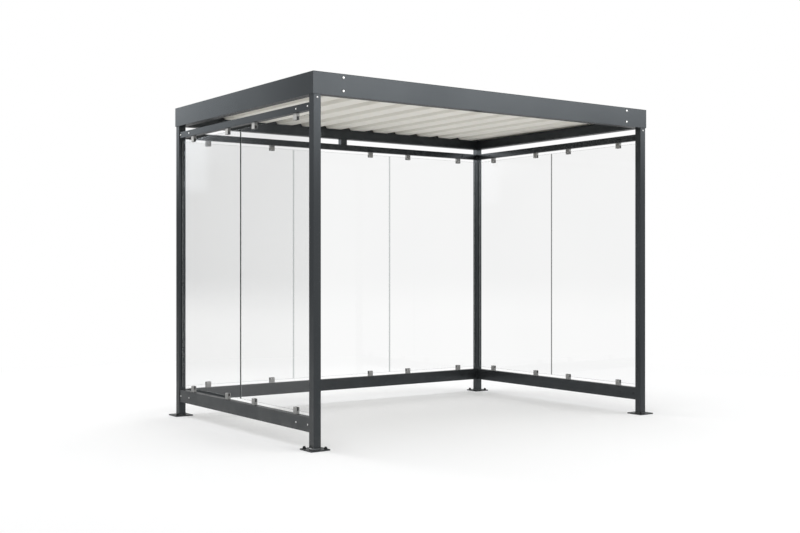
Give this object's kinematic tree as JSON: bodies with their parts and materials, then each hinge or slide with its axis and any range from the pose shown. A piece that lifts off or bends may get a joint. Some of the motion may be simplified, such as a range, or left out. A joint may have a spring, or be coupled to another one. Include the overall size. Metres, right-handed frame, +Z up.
{
  "type": "bike shelter",
  "caption": "Open-fronted bike shelter: square steel posts on anchor plates, clamped clear glass walls on three sides, level ribbed sheet roof behind a folded fascia.",
  "frame": {"origin": "on the ground at the centre of the four base plates", "axes": "+X along the open front, to the right seen from the front; +Y to the glazed rear wall; +Z up"},
  "size_m": [2.853, 1.964, 2.181],
  "materials": {
    "frame_coat": "fine matt anthracite powder coat",
    "roof_sheet_coat": "satin grey-white coil coat",
    "clear_glass": "clear toughened, polished edges",
    "clamp_steel": "satin",
    "liner_rubber": "matt"
  },
  "bodies": {
    "root": {"front_fascia": "frame_coat", "front_left_base_plate": "frame_coat", "front_left_post": "frame_coat", "front_right_base_plate": "frame_coat", "front_right_post": "frame_coat", "front_roof_beam": "frame_coat", "left_bottom_clamps": "clamp_steel", "left_bottom_rail": "frame_coat", "left_clamp_liners": "liner_rubber", "left_fascia": "frame_coat", "left_roof_beam": "frame_coat", "left_roof_sheet": "roof_sheet_coat", "left_top_clamps": "clamp_steel", "left_top_rail": "frame_coat", "left_wall_front_pane": "clear_glass", "left_wall_rear_pane": "clear_glass", "middle_roof_sheet": "roof_sheet_coat", "rear_bottom_clamps": "clamp_steel", "rear_bottom_rail": "frame_coat", "rear_clamp_liners": "liner_rubber", "rear_fascia": "frame_coat", "rear_left_base_plate": "frame_coat", "rear_left_post": "frame_coat", "rear_rail_strut": "frame_coat", "rear_right_base_plate": "frame_coat", "rear_right_post": "frame_coat", "rear_roof_beam": "frame_coat", "rear_top_clamps": "clamp_steel", "rear_top_rail": "frame_coat", "rear_wall_left_pane": "clear_glass", "rear_wall_middle_pane": "clear_glass", "rear_wall_right_pane": "clear_glass", "right_bottom_clamps": "clamp_steel", "right_bottom_rail": "frame_coat", "right_clamp_liners": "liner_rubber", "right_fascia": "frame_coat", "right_roof_beam": "frame_coat", "right_roof_sheet": "roof_sheet_coat", "right_top_clamps": "clamp_steel", "right_top_rail": "frame_coat", "right_wall_front_pane": "clear_glass", "right_wall_rear_pane": "clear_glass"}
  },
  "joints": []
}
